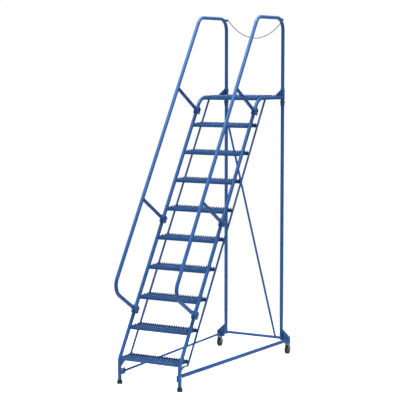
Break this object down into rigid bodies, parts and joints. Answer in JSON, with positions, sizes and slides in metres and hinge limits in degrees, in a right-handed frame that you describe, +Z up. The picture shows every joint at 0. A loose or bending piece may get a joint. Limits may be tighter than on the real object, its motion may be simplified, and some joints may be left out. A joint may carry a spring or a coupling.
{
  "type": "rolling warehouse ladder",
  "caption": "Rolling warehouse ladder with grating treads, a top platform, two bent handrails, rubber front feet, rear casters and a safety chain.",
  "frame": {"origin": "centre of the whole footprint, on the floor", "axes": "+Z up, +Y from the climber's side to the back of the ladder, +X to the climber's right"},
  "size_m": [0.8144, 2.0453, 3.302],
  "materials": {
    "blue_coat": "semi-gloss blue powder coat over steel",
    "black_rubber": "matte black rubber",
    "tyre_rubber": "hard dark rubber tread",
    "hub_plastic": "grey moulded nylon",
    "zinc_steel": "bright zinc plate",
    "chain_zinc": "dull zinc plate",
    "fork_zinc": "blue-grey passivated zinc plate"
  },
  "bodies": {
    "ladder": {"chain_tabs": "blue_coat", "clamp_fasteners": "zinc_steel", "frame_fasteners": "zinc_steel", "left_axle_bolt": "zinc_steel", "left_back_rail": "blue_coat", "left_base_rail": "blue_coat", "left_base_rail_tab": "blue_coat", "left_caster_bracket": "blue_coat", "left_caster_fork": "fork_zinc", "left_corner_socket": "blue_coat", "left_foot_gusset": "blue_coat", "left_handrail": "blue_coat", "left_handrail_clamp": "blue_coat", "left_lower_brace": "blue_coat", "left_lower_brace_clamp": "blue_coat", "left_platform_gusset": "blue_coat", "left_rear_post": "blue_coat", "left_rubber_foot": "black_rubber", "left_stringer": "blue_coat", "left_upper_brace": "blue_coat", "left_upper_brace_clamp": "blue_coat", "left_wheel_bush": "zinc_steel", "platform_deck": "blue_coat", "rear_crossbar": "blue_coat", "rear_diagonal": "blue_coat", "right_axle_bolt": "zinc_steel", "right_back_rail": "blue_coat", "right_base_rail": "blue_coat", "right_base_rail_tab": "blue_coat", "right_caster_bracket": "blue_coat", "right_caster_fork": "fork_zinc", "right_corner_socket": "blue_coat", "right_foot_gusset": "blue_coat", "right_handrail": "blue_coat", "right_handrail_clamp": "blue_coat", "right_lower_brace": "blue_coat", "right_lower_brace_clamp": "blue_coat", "right_platform_gusset": "blue_coat", "right_rear_post": "blue_coat", "right_rubber_foot": "black_rubber", "right_stringer": "blue_coat", "right_upper_brace": "blue_coat", "right_upper_brace_clamp": "blue_coat", "right_wheel_bush": "zinc_steel", "tread_1": "blue_coat", "tread_2": "blue_coat", "tread_3": "blue_coat", "tread_4": "blue_coat", "tread_5": "blue_coat", "tread_6": "blue_coat", "tread_7": "blue_coat", "tread_8": "blue_coat", "tread_9": "blue_coat"},
    "left_wheel": {"left_wheel_tyre": "tyre_rubber", "left_wheel_hub": "hub_plastic"},
    "right_wheel": {"right_wheel_tyre": "tyre_rubber", "right_wheel_hub": "hub_plastic"},
    "chain": {"safety_chain": "chain_zinc", "snap_hook": "chain_zinc"},
    "gate": {"snap_gate": "chain_zinc"}
  },
  "joints": [
    {"name": "left_wheel_spin", "type": "hinge", "parent": "ladder", "child": "left_wheel", "pos_m": [-0.384, 0.9783, 0.04445], "axis": [1, 0, 0], "continuous": true},
    {"name": "right_wheel_spin", "type": "hinge", "parent": "ladder", "child": "right_wheel", "pos_m": [0.384, 0.9783, 0.04445], "axis": [1, 0, 0], "continuous": true},
    {"name": "chain_swing", "type": "hinge", "parent": "ladder", "child": "chain", "pos_m": [0, 0.9926, 3.271], "axis": [1, 0, 0], "range_deg": [-70, 70]},
    {"name": "gate_open", "type": "hinge", "parent": "chain", "child": "gate", "pos_m": [-0.29261, 1.0076, 3.25623], "axis": [0.766, 0, 0.6428], "range_deg": [0, 30], "stiffness_Nm_per_rad": 0.01}
  ]
}
